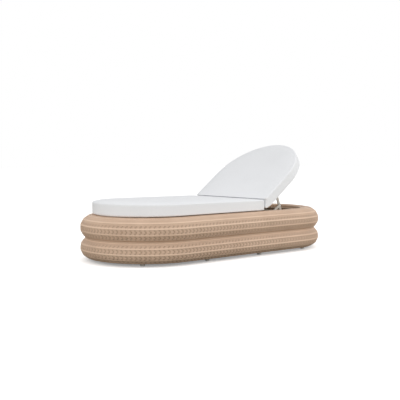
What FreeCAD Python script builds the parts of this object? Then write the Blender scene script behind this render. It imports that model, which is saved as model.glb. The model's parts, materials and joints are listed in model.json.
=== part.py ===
"""Woven chaise longue: double-bolster base, slatted deck, reclining backrest on a folding stay.

Millimetres. +X runs to the head end, +Z is up, the origin is on the floor under the middle of the base.
"""
import FreeCAD, Part
import os
from math import asin, cos, degrees, pi, radians, sin, sqrt, tan

V = FreeCAD.Vector
UP = V(0, 0, 1)
ACROSS = V(0, 1, 0)

# Overall size of the woven base, a stadium in plan
length = 2110.0
width = 950.0

# Section of the base, as heights above the floor
foot_height = 19.0
lower_bulge_height = 95.0
groove = 165.0
crest = 326.0
shoulder_radius = 90.0

# Section of the base, as distances in from its outer edge
groove_inset = 44.0
corner_radius = 14.0
skin = 6.0

# Clearances
seat_gap = 0.3
running_gap = 0.05
open_pivot_gap = 0.4
mitre_gap = 2.0

# Hoops, ribs and ledge inside the base
hoop = 25.0
hoop_edge_gap = 5.0
hoop_wall_gap = 30.0
waist_bar = 16.0
tube_wall = 2.0
rib_thickness = 5.0
ribs_per_side = 6
lightening_radius = 36.0
ledge_thickness = 5.0
rail_rest = 8.0

# Feet
foot_radius = 16.0
foot_edge = 3.0
stud_radius = 5.0
stud_gap = 1.0
first_foot = 307.0
head_foot_gap = 438.5
feet_per_side = 4

# Seat deck and cushion
slat_width = 45.0
seat_slat_count = 11
slat_end_gap = 1.0
deck_margin = 19.0
deck_foot_margin = 125.0
seat_end_gap = 16.0
seat_top = 412.0
cushion_inset = 86.0
cushion_corner = 14.0
crown = 6.0
crown_share = 0.7
seam_rise = 7.0
seam_inset = 2.0
edge_round = 9.0
side_draw = 5.0
crown_shoulder = 60.0
crown_plateau = 170.0

# Backrest
hinge_from_head = 805.0
recline_rest = 36.5
recline_max = 45.0
back_tube = 22.0
back_side_gap = 25.0
back_head_gap = 15.0
back_slat_thickness = 4.0
back_slat_width = 40.0
back_slat_count = 7
back_slat_start = 45.0
back_slat_end = 63.0
back_cushion_inset = 61.0
back_cushion_front = 98.0
heel_rise = 22.0
heel_length = 70.0

# Recline hinge
pin_radius = 8.0
bracket_plate = 6.0
bracket_radius = 14.5
bracket_half_base = 32.0
bracket_wall_gap = 4.0
hinge_side_gap = 0.5
hinge_tube_overhang = 2.5
pin_engagement = 34.0
pin_head = 4.0
pin_head_radius = 10.0
pin_head_gap = 0.5
screw_radius = 3.0
screw_head_radius = 5.0
screw_head = 3.5
screw_spread = 22.0

# Folding stay: strut, link and their pivots
stay_along = 262.0
stay_below = 28.0
strut_span = 97.0
strut_lean = 21.0
strut_tail = 58.0
strut_width = 21.0
link_width = 18.0
stay_plate = 8.0
stay_side_gap = 0.5
stay_pin_radius = 5.0
stay_pin_head = 3.0
stay_pin_head_radius = 8.0
tie_radius = 8.0
link_tie_share = 0.45
lug_half_base = 18.0
lug_eye = 12.0
anchor_eye = 14.0
anchor_half_top = 24.0
disc_thickness = 2.0
disc_radius = 14.0

# Worked out from the sizes above
upper_bulge_height = crest - shoulder_radius
hoop_outer = shoulder_radius + hoop_edge_gap
hoop_inset = hoop_outer + hoop / 2
hoop_inner = hoop_outer + hoop
inner_inset = hoop_inner + hoop_wall_gap
end_radius = width / 2
half_straight = length / 2 - end_radius
well_half_width = end_radius - inner_inset
hinge_x = length / 2 - hinge_from_head
seat_end = hinge_x - seat_end_gap
hinge_z = crest - back_slat_thickness - back_tube / 2
ledge_top = hinge_z - back_tube / 2 - seat_gap
ledge_bottom = ledge_top - ledge_thickness
back_half_width = well_half_width - back_side_gap
back_bend_centre = half_straight + well_half_width - back_head_gap - back_half_width - hinge_x
back_cushion_reach = length / 2 - back_cushion_inset - hinge_x
ledge_edge = back_half_width - rail_rest
hinge = V(hinge_x, 0, hinge_z)
cushion_half = end_radius - cushion_inset
tube_end = back_half_width + hinge_tube_overhang
ear_inner = tube_end + hinge_side_gap
ear_outer = ear_inner + bracket_plate
bracket_edge = well_half_width - bracket_wall_gap
screw_y = (ear_outer + bracket_edge) / 2
rail_inner = back_half_width - back_tube


def export(name, shape):
    """Write one node."""
    shape.exportStep("parts/%s.step" % name)


def outline(points):
    """Closed wire through points; a triple of points is an arc through its middle one."""
    edges = []
    here = points[0]
    for step in points[1:]:
        if isinstance(step, tuple):
            edges.append(Part.Arc(here, step[0], step[1]).toShape())
            here = step[1]
        else:
            edges.append(Part.LineSegment(here, step).toShape())
            here = step
    if here.distanceToPoint(points[0]) > 1e-6:
        edges.append(Part.LineSegment(here, points[0]).toShape())
    return Part.Wire(edges)


def at(inset, z):
    """Point of the base's section, on the +Y side."""
    return V(0, end_radius - inset, z)


def polar(centre_inset, centre_z, radius, angle):
    """Point of the section on a circle; angle 0 points outwards, 90 up."""
    return at(centre_inset - radius * cos(radians(angle)), centre_z + radius * sin(radians(angle)))


def rect(inset_a, inset_b, z_a, z_b):
    """Rectangular wire in the section."""
    return outline([at(inset_a, z_a), at(inset_b, z_a), at(inset_b, z_b), at(inset_a, z_b)])


def ring(face):
    """Carry a section face round the whole stadium."""
    side = face.translated(V(-half_straight, 0, 0)).extrude(V(2 * half_straight, 0, 0))
    head = face.translated(V(half_straight, 0, 0)).revolve(V(half_straight, 0, 0), UP, -180)
    foot = face.translated(V(-half_straight, 0, 0)).revolve(V(-half_straight, 0, 0), UP, 180)
    return side.fuse([head, foot, side.mirror(V(0, 0, 0), ACROSS)]).Solids[0]


def place(shape, distance, inset, left):
    """Move a shape from the +Y side to a station measured from the foot-end tip along the stadium."""
    radius = end_radius - inset
    quarter = radius * pi / 2
    if distance < quarter:
        centre = -half_straight
        turn = 180 + degrees(distance / radius) - 90
    elif distance < quarter + 2 * half_straight:
        centre = distance - quarter - half_straight
        turn = 180
    else:
        centre = half_straight
        turn = 180 + degrees((distance - quarter - 2 * half_straight) / radius)
    moved = shape.rotated(V(0, 0, 0), UP, turn).translated(V(centre, 0, 0))
    return moved.mirror(V(0, 0, 0), ACROSS) if left else moved


def half_way(inset):
    """Length along the stadium from the foot-end tip to the head-end tip."""
    return (end_radius - inset) * pi + 2 * half_straight


def bulge_radius(bulge_z):
    """Radius of the arc that runs from a bulge's widest level into the groove."""
    return (groove_inset ** 2 + (groove - bulge_z) ** 2) / (2 * groove_inset)


def bulge_arc(bulge_z, depth, low, high):
    """Arc of a bulge, drawn in by depth, between two levels."""
    big = bulge_radius(bulge_z)
    radius = big - depth
    a = degrees(asin(max(-1.0, min(1.0, (low - bulge_z) / radius))))
    b = degrees(asin(max(-1.0, min(1.0, (high - bulge_z) / radius))))
    points = [polar(big, bulge_z, radius, angle) for angle in (a, (a + b) / 2, b)]
    return points


def crest_points(depth):
    """Outer line of the upper bolster from its widest level over the crest to its inner lip."""
    lip_end = ledge_top + seat_gap
    lip_radius = crest - lip_end
    lip_start = inner_inset - lip_radius
    lip = (lip_radius - depth) * cos(pi / 4)
    top = crest - depth
    shoulder = polar(shoulder_radius, upper_bulge_height, shoulder_radius - depth, 45)
    over = (shoulder, at(shoulder_radius, top))
    return over, at(lip_start, top), (at(lip_start + lip, lip_end + lip), at(inner_inset - depth, lip_end))


def upper_weave():
    """Skin of the upper bolster, from the groove to the inner lip."""
    a = bulge_arc(upper_bulge_height, 0, groove, upper_bulge_height)
    b = bulge_arc(upper_bulge_height, skin, groove, upper_bulge_height)
    over, flat, lip = crest_points(0)
    over_in, flat_in, lip_in = crest_points(skin)
    points = [a[0], (a[1], a[2]), over, flat, lip, lip_in[1], (lip_in[0], flat_in)]
    points += [over_in[1], (over_in[0], b[2]), (b[1], b[0])]
    return ring(Part.Face(outline(points)))


def lower_weave():
    """Skin of the lower bolster, from the groove under the base to the inner wall."""
    radius = lower_bulge_height - foot_height
    floor_end = inner_inset - corner_radius
    a = bulge_arc(lower_bulge_height, 0, lower_bulge_height, groove)
    b = bulge_arc(lower_bulge_height, skin, lower_bulge_height, groove)
    bend_z = foot_height + corner_radius
    bend = corner_radius * cos(pi / 4)
    bend_in = (corner_radius - skin) * cos(pi / 4)
    points = [a[2], (a[1], a[0]), (polar(radius, lower_bulge_height, radius, -45), at(radius, foot_height))]
    points += [at(floor_end, foot_height), (at(floor_end + bend, bend_z - bend), at(inner_inset, bend_z))]
    points += [at(inner_inset - skin, bend_z), (at(floor_end + bend_in, bend_z - bend_in), at(floor_end, foot_height + skin))]
    points += [at(radius, foot_height + skin), (polar(radius, lower_bulge_height, radius - skin, -45), b[0]), (b[1], b[2])]
    body = ring(Part.Face(outline(points)))
    hole = Part.makeCylinder(stud_radius + stud_gap, 2 * skin, at(hoop_inset, foot_height - skin / 2))
    return body.cut(stations(hole))


def inner_weave():
    """Flat woven wall round the well."""
    low = foot_height + corner_radius
    return ring(Part.Face(rect(inner_inset, inner_inset - skin, low, ledge_bottom)))


def box_hoop(inset_a, inset_b, z_a, z_b):
    """Bent box tube that runs round the base."""
    outer = Part.Face(rect(inset_a, inset_b, z_a, z_b))
    inner = Part.Face(rect(inset_a + tube_wall, inset_b - tube_wall, z_a + tube_wall, z_b - tube_wall))
    return ring(outer.cut(inner).Faces[0])


def rib_plate():
    """Former plate with the skin's inner outline, seats for the hoops and two lightening holes."""
    depth = skin + seat_gap
    low = foot_height + depth
    lower_radius = lower_bulge_height - foot_height
    upper = bulge_arc(upper_bulge_height, depth, groove, upper_bulge_height)
    lower = bulge_arc(lower_bulge_height, depth, lower_bulge_height, groove)
    rise = degrees(asin((ledge_bottom - upper_bulge_height) / (shoulder_radius - depth)))
    inner = inner_inset - skin - seat_gap
    points = [lower[2], (lower[1], lower[0])]
    points += [(polar(lower_radius, lower_bulge_height, lower_radius - depth, -45), at(lower_radius, low))]
    points += [at(inner - corner_radius, low), at(inner, low + corner_radius), at(inner, ledge_bottom)]
    points += [polar(shoulder_radius, upper_bulge_height, shoulder_radius - depth, rise)]
    shoulder = polar(shoulder_radius, upper_bulge_height, shoulder_radius - depth, rise / 2)
    points += [(shoulder, upper[2]), (upper[1], upper[0])]
    plate = Part.Face(outline(points)).extrude(V(rib_thickness, 0, 0))
    waist = waist_inset()
    cuts = [
        Part.Face(rect(hoop_outer - running_gap, hoop_inner + running_gap, 0, low + hoop)),
        Part.Face(rect(0, waist + waist_bar + running_gap, groove - waist_bar / 2, groove + waist_bar / 2)),
    ]
    tools = [face.extrude(V(rib_thickness, 0, 0)) for face in cuts]
    for level in ((foot_height + groove) / 2, (groove + ledge_bottom) / 2):
        tools.append(Part.makeCylinder(lightening_radius, rib_thickness, at(hoop_inset - corner_radius, level), V(1, 0, 0)))
    return plate.cut(tools).translated(V(-rib_thickness / 2, 0, 0))


def waist_inset():
    """Distance in from the outer edge at which the waist hoop clears the skin behind the groove."""
    insets = []
    for bulge_z in (lower_bulge_height, upper_bulge_height):
        big = bulge_radius(bulge_z)
        reach = big - skin - seat_gap
        insets.append(big - sqrt(max(0.0, reach ** 2 - (groove - bulge_z) ** 2)))
    return max(insets) + seat_gap


def bolster_ribs():
    """All former plates, evenly spaced round the base."""
    plate = rib_plate()
    step = half_way(hoop_inset) / ribs_per_side
    places = [(index + 0.5) * step for index in range(ribs_per_side)]
    return Part.makeCompound([place(plate, s, hoop_inset, left) for s in places for left in (False, True)])


def stations(shape):
    """Copies of a shape at every foot: pairs along the sides and one at the head-end tip."""
    copies = []
    tip = half_way(hoop_inset)
    foot_pitch = (tip - head_foot_gap - first_foot) / (feet_per_side - 1)
    for index in range(feet_per_side):
        for left in (False, True):
            copies.append(place(shape, first_foot + index * foot_pitch, hoop_inset, left))
    copies.append(place(shape, tip, hoop_inset, False))
    return copies


def feet():
    """Round glides with a softened edge, each on a stud that meets the bottom hoop."""
    top = foot_height - seat_gap
    glide = Part.makeCylinder(foot_radius, top, at(hoop_inset, 0))
    glide = glide.makeChamfer(foot_edge, [edge for edge in glide.Edges if edge.BoundBox.ZMax < foot_edge])
    stud = Part.makeCylinder(stud_radius, skin + 2 * seat_gap, at(hoop_inset, top))
    for index, foot in enumerate(stations(glide.fuse(stud).removeSplitter())):
        export("foot_%d" % (index + 1), foot.Solids[0])


def box(x_a, x_b, y_a, y_b, z_a, z_b):
    """Upright block between two corners."""
    return Part.makeBox(x_b - x_a, y_b - y_a, z_b - z_a, V(x_a, y_a, z_a))


def seat_slats():
    """Box-section slats across the well, shorter in the round foot end."""
    reach = well_half_width - slat_end_gap
    first = seat_end - deck_margin - slat_width
    last = deck_foot_margin - half_straight - well_half_width
    for index in range(seat_slat_count):
        x = first + (last - first) * index / (seat_slat_count - 1)
        beyond = max(0.0, -x - half_straight)
        half = sqrt(reach ** 2 - beyond ** 2)
        outer = box(x, x + slat_width, -half, half, ledge_top, crest)
        bore = box(x + tube_wall, x + slat_width - tube_wall, -half, half, ledge_top + tube_wall, crest - tube_wall)
        export("seat_slat_%d" % (index + 1), outer.cut(bore))


def cushion_wire(cut, centre, half, z):
    """Plan outline at one level: a straight cut, two sides and a half-round end, as lines and quarter arcs."""
    sign = 1 if centre > cut else -1
    r = cushion_corner
    k = r * (1 - cos(pi / 4))
    bow = half * cos(pi / 4)
    return outline([
        V(cut + sign * r, -half, z),
        V(centre, -half, z),
        (V(centre + sign * bow, -bow, z), V(centre + sign * half, 0, z)),
        (V(centre + sign * bow, bow, z), V(centre, half, z)),
        V(cut + sign * r, half, z),
        (V(cut + sign * k, half - k, z), V(cut, half - r, z)),
        V(cut, -half + r, z),
        (V(cut + sign * k, -half + k, z), V(cut + sign * r, -half, z)),
    ])


def cushion_levels(low, high, sides):
    """Heights and draw-in of a boxed cushion: flat under, drawn-in sides between two seams, crowned top."""
    under = [(low, edge_round), (low + seam_rise, seam_inset)]
    over = [(high, edge_round), (high + crown * crown_share, crown_shoulder), (high + crown, crown_plateau)]
    return under + sides + over


def seat_cushion():
    """Seat pad: round foot end, straight cut at the hinge."""
    low = crest + seat_gap
    sides = [((low + seat_top) / 2, side_draw), (seat_top - seam_rise, seam_inset)]
    wires = []
    for z, inset in cushion_levels(low, seat_top, sides):
        wires.append(cushion_wire(seat_end - inset, -half_straight, cushion_half - inset, z))
    return Part.makeLoft(wires, True, True)


def seat_corner():
    """Top end corner of the seat cushion, along and above the hinge, as the backrest meets it at full recline."""
    t = radians(recline_max)
    dx = seat_end - hinge_x
    dz = seat_top - hinge_z
    return dx * cos(t) + dz * sin(t), dz * cos(t) - dx * sin(t)


def lower_end(v, low):
    """Lower end of the back cushion at height v: a nose over the seat, a mitre, then a rounded heel."""
    corner_u, corner_v = seat_corner()
    slope = tan(radians(recline_max))
    if v > corner_v:
        return corner_u - (v - corner_v) / slope + mitre_gap
    heel_top = low + heel_rise
    face = corner_u - (corner_v - max(v, heel_top)) * slope + mitre_gap
    drop = max(0.0, heel_top - v) / heel_rise
    return face + heel_length * (1 - sqrt(1 - drop ** 2))


def tilted(shape):
    """Turn a flat-lying backrest piece up to the rest angle."""
    return shape.rotated(hinge, V(0, -1, 0), recline_rest)


def back_cushion():
    """Back pad: half-round top end, lower end shaped to fold over the seat cushion."""
    low = back_tube / 2 + back_slat_thickness + seat_gap
    corner_v = seat_corner()[1]
    sides = [(low + heel_rise, side_draw), (corner_v, seam_inset)]
    centre = hinge_x + back_cushion_reach - cushion_half
    wires = []
    for v, inset in cushion_levels(low, back_cushion_front, sides):
        cut = hinge_x + lower_end(min(v, back_cushion_front), low) + max(0.0, inset - edge_round)
        wires.append(cushion_wire(cut, centre, cushion_half - inset, hinge_z + v))
    return tilted(Part.makeLoft(wires, True, True))


def back_frame():
    """Bent box tube: two side rails and a round end, cut to sit on the hinge tube."""
    low = hinge_z - back_tube / 2
    outer = outline([V(hinge_x, y, z) for y, z in square(rail_inner, back_half_width, low, low + back_tube)])
    w = tube_wall
    hole = square(rail_inner + w, back_half_width - w, low + w, low + back_tube - w)
    face = Part.Face(outer).cut(Part.Face(outline([V(hinge_x, y, z) for y, z in hole]))).Faces[0]
    rail = face.extrude(V(back_bend_centre, 0, 0))
    centre = V(hinge_x + back_bend_centre, 0, 0)
    bend = face.translated(V(back_bend_centre, 0, 0)).revolve(centre, UP, -180)
    loop = rail.fuse([bend, rail.mirror(V(0, 0, 0), ACROSS)])
    seat = Part.makeCylinder(back_tube / 2, 2 * tube_end, V(hinge_x, -tube_end, hinge_z), ACROSS)
    return tilted(loop.cut(seat).Solids[0])


def square(y_a, y_b, z_a, z_b):
    """Corners of an upright rectangle across the part."""
    return [(y_a, z_a), (y_b, z_a), (y_b, z_b), (y_a, z_b)]


def hinge_tube():
    """Round tube along the hinge axis that the two hinge pins run in."""
    start = V(hinge_x, -tube_end, hinge_z)
    outer = Part.makeCylinder(back_tube / 2, 2 * tube_end, start, ACROSS)
    return tilted(outer.cut(Part.makeCylinder(pin_radius + running_gap, 2 * tube_end, start, ACROSS)))


def back_slats():
    """Flat slats across the backrest frame, shorter in its round end."""
    low = hinge_z + back_tube / 2
    last = back_bend_centre + rail_inner - back_slat_end
    for index in range(back_slat_count):
        u = back_slat_start + (last - back_slat_start) * index / (back_slat_count - 1)
        beyond = max(0.0, u + back_slat_width - back_bend_centre)
        half = sqrt(back_half_width ** 2 - beyond ** 2)
        slat = box(hinge_x + u, hinge_x + u + back_slat_width, -half, half, low, low + back_slat_thickness)
        export("back_slat_%d" % (index + 1), tilted(slat))


def both_sides(name, shape):
    """Write a piece of the -Y side and its mirror image."""
    export(name + "_right", shape)
    export(name + "_left", shape.mirror(V(0, 0, 0), ACROSS))


def cross_pin(x, z, radius, y_a, y_b):
    """Round bar across the part on the -Y side, between two distances from the middle."""
    return Part.makeCylinder(radius, y_b - y_a, V(x, -y_b, z), ACROSS)


def hinge_brackets():
    """Upright ears on the ledge with a screwed foot, the pins in them and the screws."""
    left = hinge_x - bracket_half_base
    right = hinge_x + bracket_half_base
    points = [V(left, -ear_outer, ledge_top), V(right, -ear_outer, ledge_top)]
    points += [V(hinge_x + bracket_radius, -ear_outer, hinge_z)]
    points += [(V(hinge_x, -ear_outer, hinge_z + bracket_radius), V(hinge_x - bracket_radius, -ear_outer, hinge_z))]
    ear = Part.Face(outline(points)).extrude(V(0, bracket_plate, 0))
    foot = box(left, right, -bracket_edge, -ear_inner, ledge_top, ledge_top + bracket_plate)
    holes = [cross_pin(hinge_x, hinge_z, pin_radius, 0, end_radius)]
    holes += [cross_pin(hinge_x, hinge_z, pin_head_radius + pin_head_gap, ear_outer, end_radius)]
    holes += [screw_shank(sign, screw_y) for sign in (-1, 1)]
    both_sides("hinge_bracket", ear.fuse(foot).cut(holes).removeSplitter())
    pin = cross_pin(hinge_x, hinge_z, pin_radius, ear_inner - pin_engagement, ear_outer + pin_head)
    head = cross_pin(hinge_x, hinge_z, pin_head_radius, ear_outer, ear_outer + pin_head)
    both_sides("hinge_pin", pin.fuse(head).removeSplitter())
    screws = []
    for sign in (-1, 1):
        seat = V(hinge_x + sign * screw_spread, -screw_y, ledge_top + bracket_plate)
        head = Part.makeCylinder(screw_head_radius, screw_head, seat)
        screws.append(screw_shank(sign, screw_y).fuse(head).removeSplitter())
    export("hinge_screws", Part.makeCompound(screws + [s.mirror(V(0, 0, 0), ACROSS) for s in screws]))


def screw_shank(sign, y):
    """Shank of a hinge screw, through the bracket's foot and the ledge."""
    reach = ledge_thickness + bracket_plate
    return Part.makeCylinder(screw_radius, reach, V(hinge_x + sign * screw_spread, -y, ledge_bottom))


def deck_rim():
    """Flat ledge round the inside of the top hoop, drilled for the hinge screws."""
    rim = ring(Part.Face(rect(hoop_inner, end_radius - ledge_edge, ledge_bottom, ledge_top)))
    holes = [screw_shank(sign, side * screw_y) for sign in (-1, 1) for side in (-1, 1)]
    return rim.cut(holes)


def turn_up(u, v):
    """Point of the backrest, given along and above the hinge, at the rest angle."""
    t = radians(recline_rest)
    return V(hinge_x + u * cos(t) - v * sin(t), 0, hinge_z + u * sin(t) + v * cos(t))


def stay_points():
    """Pivots of the stay at rest: on the backrest, at the elbow, on the base, and the strut's free end.

    The four pivots with the hinge make a parallelogram, so strut and base keep their angle at every recline.
    """
    lean = radians(strut_lean)
    down = V(sin(lean), 0, -cos(lean))
    top = turn_up(stay_along, -stay_below)
    elbow = top + down * strut_span
    base = hinge + down * strut_span
    tail = elbow + down * strut_tail
    return top, elbow, base, tail


def bar(a, b, bar_width, y_a, y_b):
    """Flat bar with round ends between two points, on the -Y side."""
    along = (b - a).normalize()
    side = V(-along.z, 0, along.x) * (bar_width / 2)
    cap = along * (bar_width / 2)
    wire = outline([a + side, (a - cap, a - side), b - side, (b + cap, b + side), a + side])
    return Part.Face(wire.translated(V(0, -y_b, 0))).extrude(V(0, y_b - y_a, 0))


def tie(point, y):
    """Round cross tube between the two halves of a stay piece."""
    return Part.makeCylinder(tie_radius, 2 * y, V(point.x, -y, point.z), ACROSS)


def stay():
    """Folding prop: lugs on the frame, U-shaped strut, tied links, brackets under the ledge and their pins."""
    top, elbow, base, tail = stay_points()
    bracket_in = ledge_edge - seat_gap
    bracket_out = bracket_in + stay_plate
    link_out = bracket_in - disc_thickness - seat_gap
    link_in = link_out - stay_plate
    strut_out = link_in - stay_side_gap
    strut_in = strut_out - stay_plate
    r = stay_pin_radius

    def pin(point, y_a, y_b):
        """Headed pivot pin; the head is on the inner end."""
        shank = cross_pin(point.x, point.z, r, y_a, y_b)
        return shank.fuse(cross_pin(point.x, point.z, stay_pin_head_radius, y_a - stay_pin_head, y_a)).removeSplitter()

    def bore(point, gap):
        """Cutting tool for an eye."""
        return cross_pin(point.x, point.z, r + gap, 0, end_radius)

    arm = bar(top, tail, strut_width, strut_in, strut_out).cut([bore(top, running_gap), bore(elbow, 0)])
    strut = arm.fuse([arm.mirror(V(0, 0, 0), ACROSS), tie(tail, strut_in + stay_plate / 2)]).removeSplitter()
    export("stay_strut", strut.Solids[0])
    both_sides("elbow_pin", pin(elbow, strut_in, link_out))

    arm = bar(base, elbow, link_width, link_in, link_out).cut([bore(base, running_gap), bore(elbow, open_pivot_gap)])
    middle = base + (elbow - base) * link_tie_share
    link = arm.fuse([arm.mirror(V(0, 0, 0), ACROSS), tie(middle, link_in + stay_plate / 2)]).removeSplitter()
    export("stay_link", link.Solids[0])

    lug_face = hinge_z - back_tube / 2
    eye = V(hinge_x + stay_along, 0, hinge_z - stay_below)
    lug = [V(eye.x - lug_half_base, 0, lug_face), V(eye.x - lug_eye, 0, eye.z)]
    lug += [(V(eye.x, 0, eye.z - lug_eye), V(eye.x + lug_eye, 0, eye.z)), V(eye.x + lug_half_base, 0, lug_face)]
    plate = Part.Face(outline(lug).translated(V(0, -link_out, 0))).extrude(V(0, stay_plate, 0))
    both_sides("stay_lug", tilted(plate).cut(bore(top, 0)))
    both_sides("strut_pin", pin(top, strut_in, link_out))

    anchor = [V(base.x - anchor_half_top, 0, ledge_bottom), V(base.x - anchor_eye, 0, base.z)]
    anchor += [(V(base.x, 0, base.z - anchor_eye), V(base.x + anchor_eye, 0, base.z))]
    anchor += [V(base.x + anchor_half_top, 0, ledge_bottom)]
    plate = Part.Face(outline(anchor).translated(V(0, -bracket_out, 0))).extrude(V(0, stay_plate, 0))
    both_sides("stay_bracket", plate.cut(bore(base, 0)))
    both_sides("stay_base_pin", pin(base, link_in - stay_side_gap, bracket_out))
    disc = cross_pin(base.x, base.z, disc_radius, bracket_in - disc_thickness, bracket_in)
    both_sides("friction_disc", disc.cut(bore(base, 0)))


def main():
    """Build and write every node."""
    os.makedirs("parts", exist_ok=True)
    low = foot_height + skin + seat_gap
    waist = waist_inset()
    top = crest - skin - seat_gap
    export("upper_weave", upper_weave())
    export("lower_weave", lower_weave())
    export("inner_weave", inner_weave())
    export("bolster_ribs", bolster_ribs())
    export("bottom_hoop", box_hoop(hoop_outer, hoop_inner, low, low + hoop))
    export("waist_hoop", box_hoop(waist, waist + waist_bar, groove - waist_bar / 2, groove + waist_bar / 2))
    export("top_hoop", box_hoop(hoop_outer, hoop_inner, ledge_bottom, top))
    export("deck_rim", deck_rim())
    feet()
    seat_slats()
    export("seat_cushion", seat_cushion())
    hinge_brackets()
    export("hinge_tube", hinge_tube())
    export("back_frame", back_frame())
    back_slats()
    export("back_cushion", back_cushion())
    stay()


main()
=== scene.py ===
"""Looks of a woven chaise longue: strand weave, padded cushions, metal finishes and a plain studio.

Metres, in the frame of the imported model: +X to the head end, +Z up, the floor at z = 0.
"""
import json
from math import asin, cos, degrees, pi, radians, sin, sqrt, tan

import bmesh
import bpy
import numpy as np
from mathutils import Matrix, Vector


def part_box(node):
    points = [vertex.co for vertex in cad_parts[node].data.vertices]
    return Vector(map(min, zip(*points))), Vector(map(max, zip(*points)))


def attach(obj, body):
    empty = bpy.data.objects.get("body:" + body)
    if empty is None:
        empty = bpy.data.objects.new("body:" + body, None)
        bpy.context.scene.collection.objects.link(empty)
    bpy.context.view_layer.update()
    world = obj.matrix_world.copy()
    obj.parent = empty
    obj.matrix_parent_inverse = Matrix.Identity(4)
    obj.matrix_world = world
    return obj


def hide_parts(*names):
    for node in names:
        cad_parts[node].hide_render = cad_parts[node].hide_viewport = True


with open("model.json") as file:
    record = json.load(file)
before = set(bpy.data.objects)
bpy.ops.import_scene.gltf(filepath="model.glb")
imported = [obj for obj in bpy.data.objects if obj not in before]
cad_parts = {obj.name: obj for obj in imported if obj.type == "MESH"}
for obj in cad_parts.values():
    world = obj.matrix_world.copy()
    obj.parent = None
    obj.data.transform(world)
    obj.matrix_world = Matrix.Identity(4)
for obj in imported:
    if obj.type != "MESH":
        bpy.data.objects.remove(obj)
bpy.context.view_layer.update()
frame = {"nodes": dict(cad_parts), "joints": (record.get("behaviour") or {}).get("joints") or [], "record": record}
scene = bpy.context.scene

# Tolerances
same_place = 1e-5
least_shift = 1e-9

# Woven base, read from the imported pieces
upper_low, upper_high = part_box("upper_weave")
end_radius = upper_high.y
half_straight = upper_high.x - upper_high.y
groove_height = upper_low.z
crest = upper_high.z
foot_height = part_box("lower_weave")[0].z
ledge_low, ledge_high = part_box("deck_rim")
skin = 0.006
inner_inset = end_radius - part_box("inner_weave")[1].y + skin
lip_radius = crest - ledge_high.z

# Section of the two bolsters
groove_inset = 0.044
shoulder_radius = 0.090
upper_bulge = crest - shoulder_radius
lower_bulge = 0.095
corner_radius = 0.014

# Weave: plain ridge strands, with four strands between them whose dips step into arrow shapes
side_stitches = 37
end_stitches = 46
weave_steps = 6
plain_steps = 2
ridge_pitch = 0.043
upper_first_ridge = 0.0245
lower_first_ridge = 0.012
ridge_width = 0.0142
ridge_thickness = 0.0042
strand_spots = (0.0106, 0.0179, 0.0251, 0.0324)
strand_pitch = 0.0072
dip_shifts = (0.0, 0.25, 0.25, 0.0)
dip_depth = 0.0036
dip_sharpness = 2.0
# Painted shade: strand colour is multiplied towards dip_shade where the strands dip behind the stakes
dip_shade = (0.68, 0.655, 0.62)
strand_width = 0.0075
strand_thickness = 0.0028
strand_depth = 0.0022
ridge_depth = 0.0014
upper_dips = (radians(-48), radians(30))
lower_dips = (radians(-60), radians(40))
wall_dips = (0.0, pi)
groove_fill = 0.008
# Painted shade: the groove strand and ridges facing down more than hollow_lean are darkened as at a dip
hollow_shade = 0.65
hollow_lean = radians(-30)
stake_width = 0.0050
stake_thickness = 0.0012
stake_depth = 0.0076
stake_cell = 0.014
liner_depth = 0.0094
liner_thickness = 0.0006
liner_cell = 0.010
liner_end_steps = 48
profile_shoulder = 0.3
profile_edge = 0.1

# Cushions
seat_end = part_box("seat_cushion")[1].x
seat_clearance = 0.0010
seat_low = crest + seat_clearance
seat_top = 0.412
cushion_inset = 0.086
cushion_half = end_radius - cushion_inset
cushion_corner = 0.008
corner_reach = 1.01 * cushion_corner
cushion_edge = 0.005
edge_steps = 3
cushion_lift = 0.0070
foot_rise = 0.010
cushion_tuck = 0.040
seat_under_edge = 0.002
back_under_edge = 0.007
rest_zone = 0.012
cushion_crown = 0.006
crown_levels = ((0.050, 0.6), (0.090, 0.4))
round_share = 0.9995
round_steps = 20
corner_steps = 4
start_inset = 0.003
pad_voxel = 0.0070
puff_pressure = 4.0
puff_frames = 20
puff_reach = 0.005
puff_rise = 0.004
fold_zone = 0.120

# Backrest, measured from its hinge
hinge_joint = frame["joints"][0]
hinge = Vector(hinge_joint["pos_m"])
flat_turn, steep_turn = hinge_joint["range_deg"]
recline_rest = radians(-flat_turn)
recline_max = radians(steep_turn - flat_turn)
back_low = 0.0166
back_front = 0.098
back_reach = 0.744
back_fullness = 0.009
back_half = cushion_half + back_fullness
heel_rise = 0.022
heel_length = 0.070
heel_shares = (0.0, 0.35, 0.65, 1.0)
mitre_gap = 0.0048
nose_allowance = 0.004

# Studio: levels of the white surround and floor
surround_light = 0.72
floor_half = 30.0
floor_seen = 1.35
floor_thrown = (0.31, 0.30, 0.26)
floor_glow = 0.27

# Camera, fitted to the photograph's outline
camera_place = Vector((-3.8824, -4.3300, 0.7563))
camera_target = Vector((-0.0670, 0.0056, 0.4036))
focal_pixels = 758.4
frame_pixels = 400.0
sensor = 36.0


# Small helpers

def add_mesh(name, mesh):
    """Put a mesh into the scene as a piece."""
    piece = bpy.data.objects.new(name, mesh)
    scene.collection.objects.link(piece)
    return piece


def add_bmesh(name, bm):
    """Turn a finished bmesh into a piece."""
    mesh = bpy.data.meshes.new(name)
    bm.to_mesh(mesh)
    bm.free()
    return add_mesh(name, mesh)


def baked(piece):
    """Mesh of a piece with its modifiers or bevel applied."""
    bpy.context.view_layer.update()
    return bpy.data.meshes.new_from_object(piece.evaluated_get(bpy.context.evaluated_depsgraph_get()))


def apply_all(piece):
    """Replace a piece's mesh by its modified one."""
    mesh = baked(piece)
    piece.modifiers.clear()
    old = piece.data
    piece.data = mesh
    bpy.data.meshes.remove(old)


def smooth(piece):
    """Shade a piece smoothly."""
    piece.data.polygons.foreach_set("use_smooth", [True] * len(piece.data.polygons))


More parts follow.
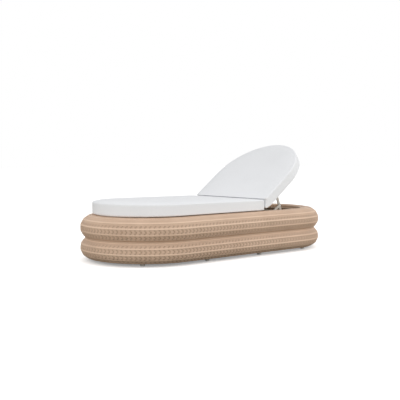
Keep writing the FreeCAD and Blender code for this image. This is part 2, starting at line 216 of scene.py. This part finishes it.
def finish_piece(piece, body, slot, material, *nodes):
    """Give a piece its body and finish, and hide the CAD nodes it stands for."""
    piece.data.materials.clear()
    piece.data.materials.append(material)
    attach(piece, body)
    if nodes:
        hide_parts(*nodes)


# Section of the base: runs are functions of a share from 0 to 1, giving inset, height and lean

def arc_run(inset, z, radius, start, end):
    """Round stretch about a centre, between two leans in degrees: 0 faces outwards, 90 up."""
    def at(share):
        lean = radians(start + (end - start) * share)
        return inset - radius * cos(lean), z + radius * sin(lean), lean
    return radius * radians(abs(end - start)), at


def line_run(inset_a, z_a, inset_b, z_b, lean):
    """Straight stretch that faces one way."""
    def at(share):
        return inset_a + (inset_b - inset_a) * share, z_a + (z_b - z_a) * share, radians(lean)
    return sqrt((inset_b - inset_a) ** 2 + (z_b - z_a) ** 2), at


def bulge_run(bulge):
    """Radius and groove lean of the arc between a bolster's widest level and the groove."""
    rise = groove_height - bulge
    radius = (groove_inset ** 2 + rise ** 2) / (2 * groove_inset)
    return radius, degrees(asin(rise / radius))


def upper_section():
    """Upper bolster, from the groove over the crest to the lip."""
    radius, lean = bulge_run(upper_bulge)
    flat_end = inner_inset - lip_radius
    return [
        arc_run(radius, upper_bulge, radius, lean, 0),
        arc_run(shoulder_radius, upper_bulge, shoulder_radius, 0, 90),
        line_run(shoulder_radius, crest, flat_end, crest, 90),
        arc_run(flat_end, crest - lip_radius, lip_radius, 90, 180),
    ]


def lower_section():
    """Lower bolster, from the groove down and under to the inner wall."""
    radius, lean = bulge_run(lower_bulge)
    belly = lower_bulge - foot_height
    floor_end = inner_inset - corner_radius
    return [
        arc_run(radius, lower_bulge, radius, lean, 0),
        arc_run(belly, lower_bulge, belly, 0, -90),
        line_run(belly, foot_height, floor_end, foot_height, -90),
        arc_run(floor_end, foot_height + corner_radius, corner_radius, -90, -180),
    ]


def wall_section():
    """Inner wall, from the floor side up to the ledge."""
    return [line_run(inner_inset, foot_height + corner_radius, inner_inset, ledge_low.z, 180)]


def section_length(section):
    """Length along a section."""
    return sum(length for length, at in section)


def section_at(section, distance):
    """Inset, height and lean at a distance along a section."""
    for length, at in section:
        if distance <= length:
            return at(distance / length)
        distance -= length
    return at(1.0)


def sunk(spot, depth):
    """Spot of a section moved below the surface."""
    inset, z, lean = spot
    return inset + depth * cos(lean), z - depth * sin(lean), lean


# Weave: closed strands round the base, in front of upright stakes

stitches = 2 * (side_stitches + end_stitches)


def ring_point(stitch, inset, z):
    """Point on the stadium, counted in stitches from the foot end of the -Y side."""
    reach = end_radius - inset
    stitch = stitch % stitches
    side = -1
    if stitch >= side_stitches + end_stitches:
        stitch -= side_stitches + end_stitches
        side = 1
    if stitch <= side_stitches:
        x = half_straight * (2 * stitch / side_stitches - 1)
        return Vector((-side * x, side * reach, z))
    turn = pi * (stitch - side_stitches) / end_stitches
    return Vector((-side * (half_straight + reach * sin(turn)), side * reach * cos(turn), z))


def add_spline(curve, points, tilts):
    """Add one closed polyline to a curve, with a tilt at each point."""
    spline = curve.splines.new("POLY")
    spline.points.add(len(points) - 1)
    spline.points.foreach_set("co", [value for point in points for value in (*point, 1.0)])
    spline.points.foreach_set("tilt", tilts)
    spline.use_cyclic_u = True


def swept_profile(name, width, thickness):
    """Half-round cross-section to sweep, wide along the second axis and domed outwards."""
    dome = thickness / 2
    shoulder = profile_shoulder * width
    edge = profile_edge * dome
    outline = [(dome, shoulder), (edge, width / 2), (-dome, shoulder)]
    outline += [(-dome, -shoulder), (edge, -width / 2), (dome, -shoulder)]
    curve = bpy.data.curves.new(name, "CURVE")
    curve.dimensions = "3D"
    add_spline(curve, [Vector((x, y, 0)) for x, y in reversed(outline)], [0] * len(outline))
    piece = bpy.data.objects.new(name, curve)
    scene.collection.objects.link(piece)
    return piece


def swept(name, paths, profile):
    """Sweep a profile along closed paths, with each strand's number and its dips and painted shade as attributes.
    """
    curve = bpy.data.curves.new(name, "CURVE")
    curve.dimensions = "3D"
    curve.twist_mode = "Z_UP"
    curve.bevel_mode = "OBJECT"
    curve.bevel_object = profile
    for points, tilts, dips_and_shades in paths:
        add_spline(curve, points, tilts)
    sweep = bpy.data.objects.new(name + "_sweep", curve)
    scene.collection.objects.link(sweep)
    piece = add_mesh(name, baked(sweep))
    bpy.data.objects.remove(sweep)
    bpy.data.curves.remove(curve)
    sizes = np.array([len(dips_and_shades) for points, tilts, dips_and_shades in paths])
    each = len(piece.data.vertices) // sizes.sum()
    number = piece.data.attributes.new("strand", "FLOAT", "POINT")
    number.data.foreach_set("value", np.repeat(np.arange(len(paths)), sizes * each))
    # This attribute carries painted shade: the dips of woven strands and the hollow shade of plain ones
    depth = piece.data.attributes.new("dip_and_shade", "FLOAT", "POINT")
    all_dips_and_shades = np.concatenate([dips_and_shades for points, tilts, dips_and_shades in paths])
    depth.data.foreach_set("value", np.repeat(all_dips_and_shades, each))
    smooth(piece)
    return piece


def plain_path(spot, depth, shade=0.0):
    """Straight strand, which never dips but may carry painted shade as a dip does."""
    inset, z, lean = sunk(spot, depth)
    points = [ring_point(step / plain_steps, inset, z) for step in range(stitches * plain_steps)]
    return points, [-lean] * len(points), [shade] * len(points)


def woven_path(spot, shift):
    """Strand that dips behind once in each stitch, at its own shift along the stitch; each dip also sets painted
    shade.
    """
    points = []
    dips_and_shades = []
    for step in range(stitches * weave_steps):
        stitch = step / weave_steps
        dip_and_shade = max(0.0, cos(2 * pi * (stitch - shift))) ** dip_sharpness
        inset, z, lean = sunk(spot, strand_depth + dip_depth * dip_and_shade)
        points.append(ring_point(stitch, inset, z))
        dips_and_shades.append(dip_and_shade)
    return points, [-spot[2]] * len(points), dips_and_shades


def weave_paths(section, first_ridge, dip_leans):
    """Ridge strands and the strands between them along a section; strands dip within a range of leans."""
    length = section_length(section)
    last = 0.0
    ridges = []
    rows = []
    for unit in range(-1, int(length / ridge_pitch) + 1):
        ridge = first_ridge + unit * ridge_pitch
        if ridge_width / 2 < ridge < length - ridge_width / 2:
            place = section_at(section, ridge)
            # Painted shade on ridges that face down
            shade = hollow_shade if place[2] < hollow_lean else 0.0
            ridges.append(plain_path(place, ridge_depth, shade))
            last = ridge + ridge_width / 2
        for spot, shift in zip(strand_spots, dip_shifts):
            distance = ridge + spot
            if not strand_width / 2 < distance < length - strand_width / 2:
                continue
            place = section_at(section, distance)
            if dip_leans[0] < place[2] <= dip_leans[1]:
                rows.append(woven_path(place, shift))
            else:
                rows.append(plain_path(place, strand_depth))
            last = distance
    while length - last > strand_width:
        last = min(last + strand_pitch, length - strand_width / 2)
        rows.append(plain_path(section_at(section, last), strand_depth))
    return ridges, rows


def section_line(bm, section, depth, cell, x):
    """Wire along a section, sunk below its surface, on the -Y side at one place of the length."""
    length = section_length(section)
    cells = round(length / cell)
    spots = [sunk(section_at(section, length * step / cells), depth) for step in range(cells + 1)]
    verts = [bm.verts.new((x, inset - end_radius, z)) for inset, z, lean in spots]
    return [bm.edges.new(pair) for pair in zip(verts, verts[1:])]


def only(kind, parts):
    """Parts of one kind out of an operator's result."""
    return [part for part in parts if isinstance(part, kind)]


def stake_mesh(name, section):
    """Upright stakes behind the stitches: one strip, repeated along a side and an end, and both turned."""
    pitch = 2 * half_straight / side_stitches
    bend = pi / end_stitches
    bm = bmesh.new()
    line = section_line(bm, section, stake_depth, stake_cell, (pitch - stake_width) / 2)
    grown = bmesh.ops.extrude_edge_only(bm, edges=line)["geom"]
    bmesh.ops.translate(bm, verts=only(bmesh.types.BMVert, grown), vec=(stake_width, 0, 0))
    bmesh.ops.recalc_face_normals(bm, faces=bm.faces[:])
    bmesh.ops.solidify(bm, geom=bm.faces[:], thickness=stake_thickness)
    stake = bm.verts[:] + bm.edges[:] + bm.faces[:]
    first = bmesh.ops.duplicate(bm, geom=stake)["geom"]
    bmesh.ops.translate(bm, verts=only(bmesh.types.BMVert, stake), vec=(-half_straight, 0, 0))
    bmesh.ops.spin(
        bm, geom=stake, axis=(0, 0, 1), dvec=(pitch, 0, 0), angle=0,
        steps=side_stitches - 1, use_duplicate=True,
    )
    end = (half_straight, 0, 0)
    bmesh.ops.translate(bm, verts=only(bmesh.types.BMVert, first), vec=(half_straight - pitch / 2, 0, 0))
    bmesh.ops.rotate(
        bm, verts=only(bmesh.types.BMVert, first), cent=end, matrix=Matrix.Rotation(bend / 2, 3, "Z")
    )
    bmesh.ops.spin(
        bm, geom=first, cent=end, axis=(0, 0, 1), angle=pi - bend,
        steps=end_stitches - 1, use_duplicate=True,
    )
    other = bmesh.ops.duplicate(bm, geom=bm.verts[:] + bm.edges[:] + bm.faces[:])["geom"]
    bmesh.ops.rotate(bm, verts=only(bmesh.types.BMVert, other), matrix=Matrix.Rotation(pi, 3, "Z"))
    piece = add_bmesh(name, bm)
    smooth(piece)
    return piece


def liner_mesh(name, section):
    """Closed backing behind the strands: the section's line run along the sides and round the ends."""
    bm = bmesh.new()
    line = section_line(bm, section, liner_depth, liner_cell, -half_straight)
    for centre in (half_straight, -half_straight):
        grown = bmesh.ops.extrude_edge_only(bm, edges=line)["geom"]
        bmesh.ops.translate(bm, verts=only(bmesh.types.BMVert, grown), vec=(2 * centre, 0, 0))
        ends = [edge for edge in only(bmesh.types.BMEdge, grown) if len(edge.link_faces) == 1]
        line = [edge for edge in ends if all(abs(vert.co.x - centre) < same_place for vert in edge.verts)]
        turned = bmesh.ops.spin(
            bm, geom=line, cent=(centre, 0, 0), axis=(0, 0, 1), angle=pi,
            steps=liner_end_steps, use_duplicate=False,
        )["geom_last"]
        line = only(bmesh.types.BMEdge, turned)
    bmesh.ops.remove_doubles(bm, verts=bm.verts[:], dist=same_place)
    bmesh.ops.recalc_face_normals(bm, faces=bm.faces[:])
    bmesh.ops.solidify(bm, geom=bm.faces[:], thickness=liner_thickness)
    piece = add_bmesh(name, bm)
    smooth(piece)
    return piece


# Materials

def new_material(name):
    """Node material with its shader, ready for more nodes."""
    material = bpy.data.materials.new(name)
    material.use_nodes = True
    return material, material.node_tree.nodes, material.node_tree.links


def node(nodes, kind, **settings):
    """Add a node and set its values; names that are sockets go to the sockets."""
    made = nodes.new(kind)
    for key, value in settings.items():
        if key in made.inputs:
            made.inputs[key].default_value = value
        else:
            setattr(made, key, value)
    return made


def tone(nodes, links, factor, low, high, spread=(0.3, 0.7)):
    """Colour ramp between two tones over a stretch of a factor."""
    ramp = nodes.new("ShaderNodeValToRGB")
    ramp.color_ramp.elements[0].position = spread[0]
    ramp.color_ramp.elements[1].position = spread[1]
    ramp.color_ramp.elements[0].color = (*low, 1)
    ramp.color_ramp.elements[1].color = (*high, 1)
    links.new(factor, ramp.inputs["Fac"])
    return ramp.outputs["Color"]


def bump(nodes, links, height, strength, distance):
    """Bump from a height, into the shader."""
    made = node(nodes, "ShaderNodeBump", Strength=strength, Distance=distance)
    links.new(height, made.inputs["Height"])
    links.new(made.outputs["Normal"], nodes["Principled BSDF"].inputs["Normal"])


def mixed(nodes, links, a, b, share, blend="MIX"):
    """Mix of two colours."""
    mix = nodes.new("ShaderNodeMix")
    mix.data_type = "RGBA"
    mix.blend_type = blend
    mix.inputs["Factor"].default_value = share
    links.new(a, mix.inputs["A"])
    links.new(b, mix.inputs["B"])
    return mix.outputs["Result"]


def rattan_material(name, pale, deep):
    """Synthetic rattan: a tone for each strand, fine streaks along it, slow patches and painted shade at dips and
    hollows.
    """
    material, nodes, links = new_material(name)
    shader = nodes["Principled BSDF"]
    place = nodes.new("ShaderNodeTexCoord")
    strand = node(nodes, "ShaderNodeAttribute", attribute_name="strand")
    own = node(nodes, "ShaderNodeTexWhiteNoise", noise_dimensions="1D")
    links.new(strand.outputs["Fac"], own.inputs["W"])
    own_tone = tone(nodes, links, own.outputs["Value"], deep, pale, spread=(0.0, 1.0))
    stretch = node(nodes, "ShaderNodeMapping", Scale=(90, 90, 900))
    links.new(place.outputs["Object"], stretch.inputs["Vector"])
    streak = node(nodes, "ShaderNodeTexNoise", Scale=1.0, Detail=3.0, Roughness=0.6)
    links.new(stretch.outputs["Vector"], streak.inputs["Vector"])
    streak_tone = tone(nodes, links, streak.outputs["Fac"], deep, pale, spread=(0.35, 0.65))
    patch = node(nodes, "ShaderNodeTexNoise", Scale=5.0, Detail=2.0)
    links.new(place.outputs["Object"], patch.inputs["Vector"])
    patch_tone = tone(nodes, links, patch.outputs["Fac"], deep, pale, spread=(0.35, 0.6))
    colour = mixed(nodes, links, own_tone, streak_tone, share=0.45)
    colour = mixed(nodes, links, colour, patch_tone, share=0.3)
    # Painted shade: colour multiplied towards dip_shade by the attribute read here
    dip_and_shade = node(nodes, "ShaderNodeAttribute", attribute_name="dip_and_shade")
    shade = tone(nodes, links, dip_and_shade.outputs["Fac"], (1, 1, 1), dip_shade, spread=(0.1, 0.8))
    colour = mixed(nodes, links, colour, shade, share=1.0, blend="MULTIPLY")
    links.new(colour, shader.inputs["Base Color"])
    shader.inputs["Roughness"].default_value = 0.55
    shader.inputs["Specular IOR Level"].default_value = 0.35
    bump(nodes, links, streak.outputs["Fac"], strength=0.25, distance=0.0006)
    return material


def cloth_material(name, pale, deep, turn):
    """Plain woven outdoor cloth: threads along the pad's own axes as bump, with soft flecks of tone."""
    material, nodes, links = new_material(name)
    shader = nodes["Principled BSDF"]
    place = nodes.new("ShaderNodeTexCoord")
    lie = node(nodes, "ShaderNodeMapping", Rotation=(0, turn, 0))
    links.new(place.outputs["Object"], lie.inputs["Vector"])
    threads = []
    for direction in ("X", "Y", "Z"):
        wave = node(nodes, "ShaderNodeTexWave", bands_direction=direction, Scale=160.0, Distortion=0.6)
        links.new(lie.outputs["Vector"], wave.inputs["Vector"])
        threads.append(wave.outputs["Fac"])
    height = threads[0]
    for thread in threads[1:]:
        add = node(nodes, "ShaderNodeMath", operation="ADD")
        links.new(height, add.inputs[0])
        links.new(thread, add.inputs[1])
        height = add.outputs[0]
    fleck = node(nodes, "ShaderNodeTexNoise", Scale=420.0, Detail=2.0)
    links.new(lie.outputs["Vector"], fleck.inputs["Vector"])
    fleck_tone = tone(nodes, links, fleck.outputs["Fac"], deep, pale, spread=(0.3, 0.6))
    patch = node(nodes, "ShaderNodeTexNoise", Scale=4.0, Detail=3.0)
    links.new(lie.outputs["Vector"], patch.inputs["Vector"])
    patch_tone = tone(nodes, links, patch.outputs["Fac"], deep, pale, spread=(0.3, 0.55))
    colour = mixed(nodes, links, fleck_tone, patch_tone, share=0.4)
    links.new(colour, shader.inputs["Base Color"])
    shader.inputs["Roughness"].default_value = 0.9
    shader.inputs["Specular IOR Level"].default_value = 0.2
    shader.inputs["Sheen Weight"].default_value = 0.05
    shader.inputs["Sheen Roughness"].default_value = 0.5
    bump(nodes, links, height, strength=0.2, distance=0.0004)
    return material


def coat_material(name, pale, deep, roughness, grain, depth, metallic=0.0, gloss_spread=0.08):
    """Coated, turned or moulded surface: fine grain in tone, gloss and relief."""
    material, nodes, links = new_material(name)
    shader = nodes["Principled BSDF"]
    place = nodes.new("ShaderNodeTexCoord")
    fleck = node(nodes, "ShaderNodeTexNoise", Scale=grain, Detail=3.0)
    links.new(place.outputs["Object"], fleck.inputs["Vector"])
    links.new(tone(nodes, links, fleck.outputs["Fac"], deep, pale), shader.inputs["Base Color"])
    gloss = node(nodes, "ShaderNodeMapRange")
    gloss.inputs["To Min"].default_value = roughness - gloss_spread
    gloss.inputs["To Max"].default_value = roughness + gloss_spread
    links.new(fleck.outputs["Fac"], gloss.inputs["Value"])
    links.new(gloss.outputs["Result"], shader.inputs["Roughness"])
    shader.inputs["Metallic"].default_value = metallic
    bump(nodes, links, fleck.outputs["Fac"], strength=0.15, distance=depth)
    return material


cloth_pale = (0.90, 0.91, 0.93)
cloth_deep = (0.85, 0.86, 0.88)
rattan = rattan_material("rattan", pale=(0.74, 0.54, 0.400), deep=(0.57, 0.40, 0.286))
# rattan_ridge_highlight: a lighter copy of rattan for the proud ridge strands, a painted highlight
rattan_ridge_highlight = rattan_material("rattan_ridge_highlight", pale=(0.84, 0.625, 0.468), deep=(0.675, 0.48, 0.348))
# rattan_wall_lightened: a lighter copy of rattan for the inner wall, painted light that lifts the shade in the
# well
rattan_wall_lightened = rattan_material("rattan_wall_lightened", pale=(0.88, 0.68, 0.51), deep=(0.74, 0.55, 0.40))
# rattan_back_shade: a darker copy of rattan on the backing, painted shade seen through the gaps between strands
rattan_back_shade = rattan_material("rattan_back_shade", pale=(0.42, 0.30, 0.215), deep=(0.30, 0.21, 0.15))
seat_cloth = cloth_material("seat_cloth", cloth_pale, cloth_deep, turn=0.0)
back_cloth = cloth_material("back_cloth", cloth_pale, cloth_deep, turn=recline_rest)
stone_coat = coat_material(
    "stone_coat", pale=(0.60, 0.57, 0.52), deep=(0.50, 0.475, 0.43),
    roughness=0.42, grain=900.0, depth=0.0002,
)
# brown_coat_lightened: the woven wall's tan-brown on the deck rim, made lighter as painted light for the shaded
# well
brown_coat_lightened = coat_material(
    "brown_coat_lightened", pale=(0.68, 0.53, 0.41), deep=(0.58, 0.45, 0.345),
    roughness=0.45, grain=900.0, depth=0.0002,
)
turned_steel = coat_material(
    "turned_steel", pale=(0.62, 0.62, 0.62), deep=(0.48, 0.48, 0.48),
    roughness=0.32, grain=1500.0, depth=0.0001, metallic=1.0,
)
friction_fibre = coat_material(
    "friction_fibre", pale=(0.035, 0.032, 0.03), deep=(0.015, 0.014, 0.013),
    roughness=0.8, grain=2200.0, depth=0.0003,
)
glide_grey = coat_material(
    "glide_grey", pale=(0.74, 0.71, 0.67), deep=(0.66, 0.63, 0.59),
    roughness=0.5, grain=1200.0, depth=0.0002,
)


# Base: strands, stakes and backing

def weave():
    """Strand weave of both bolsters and the inner wall, with its stakes and backing."""
    strand = swept_profile("strand_profile", strand_width, strand_thickness)
    ridge = swept_profile("ridge_profile", ridge_width, ridge_thickness)
    # The inner wall's strands, ridges and stakes take the lighter wall copy of rattan, painted light
    for name, section, first_ridge, dip_leans, finish, ridge_lightened_material, cad_node in (
        ("upper", upper_section(), upper_first_ridge, upper_dips, rattan, rattan_ridge_highlight, "upper_weave"),
        ("lower", lower_section(), lower_first_ridge, lower_dips, rattan, rattan_ridge_highlight, "lower_weave"),
        ("wall", wall_section(), ridge_pitch / 2, wall_dips, rattan_wall_lightened, rattan_wall_lightened, "inner_weave"),
    ):
        ridges, rows = weave_paths(section, first_ridge, dip_leans)
        if name == "lower":
            groove = (groove_inset - groove_fill, groove_height, 0.0)
            # Groove strand with painted shade
            ridges.append(plain_path(groove, ridge_depth, hollow_shade))
        middle = len(rows) // 2
        # Ridge strands take a lighter copy of rattan as painted light
        for part, paths, profile, part_finish in (
            ("ridges", ridges, ridge, ridge_lightened_material),
            ("rows_a", rows[:middle], strand, finish),
            ("rows_b", rows[middle:], strand, finish),
        ):
            strands = swept("weave_%s_%s" % (name, part), paths, profile)
            finish_piece(strands, "base", "wicker", part_finish, cad_node)
        finish_piece(stake_mesh("stakes_" + name, section), "base", "wicker", finish)
        # Backing in the darker copy of rattan: painted shade behind the strands
        finish_piece(liner_mesh("backing_" + name, section), "base", "wicker", rattan_back_shade)
    bpy.data.objects.remove(strand)
    bpy.data.objects.remove(ridge)


# Cushions

def pad_blank(cut, end, half, low):
    """Flat underside of a pad: straight cut with small round corners, two sides, half-round end."""
    bm = bmesh.new()
    bmesh.ops.create_grid(bm, x_segments=1, y_segments=1, size=0.5)
    bmesh.ops.scale(bm, verts=bm.verts[:], vec=(abs(end - cut), 2 * half, 1))
    bmesh.ops.translate(bm, verts=bm.verts[:], vec=((cut + end) / 2, 0, low))
    for x, radius, steps in ((end, round_share * half, round_steps), (cut, cushion_corner, corner_steps)):
        corners = [vert for vert in bm.verts if abs(vert.co.x - x) < same_place]
        bmesh.ops.bevel(
            bm, geom=corners, offset=radius, segments=steps, profile=0.5, affect="VERTICES", material=-1
        )
    return bm


def raised(bm, face, rise, keep_face=False):
    """Extrude a face up or down and return the new one; the old one goes unless it is kept."""
    grown = only(bmesh.types.BMFace, bmesh.ops.extrude_face_region(bm, geom=[face])["geom"])[0]
    if not keep_face:
        bmesh.ops.delete(bm, geom=[face], context="FACES_ONLY")
    bmesh.ops.translate(bm, verts=grown.verts[:], vec=(0, 0, rise))
    return grown


def drawn_in(bm, face, inset, end):
    """Draw a face's outline in by a margin, which is less at the round end and more at the cut."""
    middle = face.calc_center_bounds()
    reach = abs(end - middle.x)
    half = max(face.verts, key=lambda vert: vert.co.y).co.y
    middle.x = (middle.x + end) / 2
    narrower = (1 - inset / reach, 1 - inset / half, 1)
    bmesh.ops.scale(bm, verts=face.verts[:], vec=narrower, space=Matrix.Translation(-middle))


def pad_form(end, half, levels, cut_at, under_edge, lift=0.0):
    """Pad built upwards from its underside: side levels, edges, a crowned top and a lifted rim below."""
    bm = pad_blank(cut_at(levels[0]), end, half, levels[0] + lift)
    floor = bm.faces[:][0]
    top = floor
    for below, level in zip(levels, levels[1:]):
        rise = level - below - (lift if top is floor else 0.0)
        top = raised(bm, top, rise, keep_face=top is floor)
        ends = [vert for vert in top.verts if abs(vert.co.x - cut_at(below)) < corner_reach]
        bmesh.ops.translate(bm, verts=ends, vec=(cut_at(level) - cut_at(below), 0, 0))
    for rim, offset in ((list(top.edges), cushion_edge), (list(floor.edges), under_edge)):
        bmesh.ops.bevel(
            bm, geom=rim, offset=offset, segments=edge_steps, profile=0.5, affect="EDGES", material=-1
        )
    top = max(bm.faces, key=lambda face: face.calc_center_median().z)
    for inset, share in crown_levels:
        top = raised(bm, top, share * cushion_crown)
        drawn_in(bm, top, inset, end)
    if lift:
        floor = min(bm.faces, key=lambda face: face.calc_center_median().z)
        drawn_in(bm, raised(bm, floor, -lift), cushion_tuck, end)
    bmesh.ops.recalc_face_normals(bm, faces=bm.faces[:])
    bmesh.ops.triangulate(bm, faces=[face for face in bm.faces if len(face.verts) > 4])
    return bm


def mesh_places(mesh):
    """Vertex places of a mesh as rows of an array."""
    places = np.empty(3 * len(mesh.vertices), np.float32)
    mesh.vertices.foreach_get("co", places)
    return places.reshape(-1, 3)


def puffed(name, bm, fold, lowest, highest, far_rise=0.0):
    """Even mesh over a pad's form, puffed by cloth pressure away from the fold, sized to two corners."""
    pad = add_bmesh(name, bm)
    remesh = pad.modifiers.new("even", "REMESH")
    remesh.mode = "VOXEL"
    remesh.voxel_size = pad_voxel
    apply_all(pad)
    still = mesh_places(pad.data)
    outward = np.empty(3 * len(still), np.float32)
    pad.data.vertex_normals.foreach_get("vector", outward)
    cloth = pad.modifiers.new("puff", "CLOTH")
    cloth.settings.use_pressure = True
    cloth.settings.uniform_pressure_force = puff_pressure
    cloth.settings.effector_weights.gravity = 0.0
    cloth.point_cache.frame_end = puff_frames
    for step in range(1, puff_frames + 1):
        scene.frame_set(step)
    apply_all(pad)
    scene.frame_set(1)
    shift = mesh_places(pad.data) - still
    reach = np.maximum(np.linalg.norm(shift, axis=1, keepdims=True), least_shift)
    swell = np.sum(shift * outward.reshape(-1, 3), axis=1, keepdims=True) / reach
    limit = puff_reach * np.clip(np.abs(still[:, :1] - fold) / fold_zone, 0.0, 1.0)
    places = still + shift * np.clip(swell, 0.0, 1.0) * np.minimum(1.0, limit / reach)
    resting = still[:, 2] < still[:, 2].min() + rest_zone
    places[resting, 2] = np.maximum(places[resting, 2], still[resting, 2])
    pad.data.vertices.foreach_set("co", places.ravel())
    finer = pad.modifiers.new("finer", "SUBSURF")
    finer.levels = 1
    finer.render_levels = 1
    apply_all(pad)
    places = mesh_places(pad.data)
    low = places.min(axis=0)
    share = (places - low) / (places.max(axis=0) - low)
    sized = np.array(lowest) + share * (np.array(highest) - np.array(lowest))
    sized[:, 2] += far_rise * share[:, 2] * np.abs(sized[:, 0] - fold) / (highest[0] - lowest[0])
    pad.data.vertices.foreach_set("co", sized.ravel())
    smooth(pad)
    return pad


def seat_cushion():
    """Seat pad, full at the foot end and cut straight at the fold."""
    foot = -half_straight - cushion_half
    levels = [seat_low, (seat_low + seat_top) / 2, seat_top]
    def cut(level):
        return seat_end - start_inset
    form = pad_form(
        foot + start_inset, cushion_half - start_inset, levels, cut, seat_under_edge, cushion_lift
    )
    lowest = (foot, -cushion_half, seat_low)
    highest = (seat_end, cushion_half, seat_top + cushion_crown + puff_rise)
    pad = puffed("seat_pad", form, seat_end, lowest, highest, foot_rise)
    finish_piece(pad, "base", "cushion_fabric", seat_cloth, "seat_cushion")


def fold_corner():
    """Top edge of the seat at the fold, along and above the backrest at its steepest, from the hinge."""
    dx = seat_end - hinge.x
    dz = seat_top - hinge.z
    corner_u = dx * cos(recline_max) + dz * sin(recline_max)
    corner_v = dz * cos(recline_max) - dx * sin(recline_max)
    return corner_u, corner_v


def lower_end(v):
    """Lower end of the back pad at a height above the hinge: heel, mitre and the nose over the seat."""
    corner_u, corner_v = fold_corner()
    slope = tan(recline_max)
    if v > corner_v:
        return corner_u - (v - corner_v) / slope + mitre_gap
    heel_top = back_low + heel_rise
    face = corner_u - (corner_v - max(v, heel_top)) * slope + mitre_gap
    drop = max(0.0, heel_top - v) / heel_rise
    return face + heel_length * (1 - sqrt(1 - drop ** 2))


def back_cushion():
    """Back pad, made lying flat and then turned up about the hinge."""
    def cut(v):
        return lower_end(v) + start_inset - (nose_allowance if v == back_front else 0.0)
    heel = [back_low + heel_rise * share for share in heel_shares]
    levels = heel + [fold_corner()[1], back_front]
    form = pad_form(back_reach - start_inset, back_half - start_inset, levels, cut, back_under_edge)
    lowest = (min(lower_end(v) for v in levels), -back_half, back_low)
    highest = (back_reach, back_half, back_front + cushion_crown + puff_rise)
    pad = puffed("back_pad", form, lowest[0], lowest, highest)
    pad.data.transform(Matrix.Translation(hinge) @ Matrix.Rotation(-recline_rest, 4, "Y"))
    finish_piece(pad, "backrest", "cushion_fabric", back_cloth, "back_cushion")


# Finishes of the pieces that stay as built

def finish_nodes():
    """Give every remaining node its finish by its slot."""
    finishes = {
        "coated_aluminium": stone_coat,
        "hidden_frame": brown_coat_lightened,
        "pin_steel": turned_steel,
        "disc_fibre": friction_fibre,
        "glide_plastic": glide_grey,
    }
    for part in frame["record"]["subparts"]:
        material = finishes.get(part["material_slot"])
        if material:
            mesh = frame["nodes"][part["node"]].data
            mesh.materials.clear()
            mesh.materials.append(material)


# Studio

def studio_floor():
    """White floor with a soft shadow to the camera, which throws back less light, slightly warm."""
    bm = bmesh.new()
    bmesh.ops.create_grid(bm, x_segments=1, y_segments=1, size=floor_half)
    floor = add_bmesh("floor", bm)
    material, nodes, links = new_material("white_floor")
    nodes.remove(nodes["Principled BSDF"])
    path = nodes.new("ShaderNodeLightPath")
    seen = node(nodes, "ShaderNodeBsdfDiffuse", Color=(*[floor_seen] * 3, 1))
    thrown = node(nodes, "ShaderNodeBsdfDiffuse", Color=(*floor_thrown, 1))
    glow = node(nodes, "ShaderNodeEmission", Strength=floor_glow)
    both = nodes.new("ShaderNodeAddShader")
    pick = nodes.new("ShaderNodeMixShader")
    links.new(seen.outputs["BSDF"], both.inputs[0])
    links.new(glow.outputs["Emission"], both.inputs[1])
    links.new(path.outputs["Is Camera Ray"], pick.inputs["Fac"])
    links.new(thrown.outputs["BSDF"], pick.inputs[1])
    links.new(both.outputs["Shader"], pick.inputs[2])
    links.new(pick.outputs["Shader"], nodes["Material Output"].inputs["Surface"])
    floor.data.materials.append(material)


def studio_world():
    """Even pale surround, white where the camera, a reflection or a see-through ray meets it."""
    world = bpy.data.worlds.new("studio")
    scene.world = world
    world.use_nodes = True
    nodes = world.node_tree.nodes
    links = world.node_tree.links
    path = nodes.new("ShaderNodeLightPath")
    seen = path.outputs["Is Camera Ray"]
    for kind in ("Is Glossy Ray", "Is Transmission Ray"):
        either = node(nodes, "ShaderNodeMath", operation="MAXIMUM")
        links.new(seen, either.inputs[0])
        links.new(path.outputs[kind], either.inputs[1])
        seen = either.outputs[0]
    level = nodes.new("ShaderNodeMapRange")
    level.inputs["To Min"].default_value = surround_light
    level.inputs["To Max"].default_value = 1.0
    links.new(seen, level.inputs["Value"])
    links.new(level.outputs["Result"], nodes["Background"].inputs["Strength"])
    nodes["Background"].inputs["Color"].default_value = (1, 1, 1, 1)


def softbox(name, place, target, size, power):
    """Square soft lamp aimed at a point."""
    lamp = bpy.data.lights.new(name, "AREA")
    lamp.shape = "SQUARE"
    lamp.size = size
    lamp.energy = power
    holder = bpy.data.objects.new(name, lamp)
    holder.location = place
    holder.rotation_euler = (Vector(target) - Vector(place)).to_track_quat("-Z", "Y").to_euler()
    scene.collection.objects.link(holder)


def photo_camera():
    """Camera at the photograph's viewing angle."""
    lens = bpy.data.cameras.new("photo_camera")
    lens.sensor_width = sensor
    lens.lens = focal_pixels / frame_pixels * sensor
    holder = bpy.data.objects.new("photo_camera", lens)
    holder.location = camera_place
    holder.rotation_euler = (camera_target - camera_place).to_track_quat("-Z", "Y").to_euler()
    scene.collection.objects.link(holder)
    scene.camera = holder


weave()
seat_cushion()
back_cushion()
finish_nodes()
studio_floor()
studio_world()
softbox("top_softbox", place=(-0.6, -0.8, 3.6), target=(0, 0, 0.3), size=3.5, power=6.0)
softbox("left_softbox", place=(-4.7, -1.8, 1.4), target=(0, 0, 0.3), size=3.0, power=61.0)
softbox("right_softbox", place=(2.6, -3.9, 1.5), target=(0.2, 0, 0.3), size=3.0, power=67.0)
photo_camera()
scene.view_settings.view_transform = "Standard"
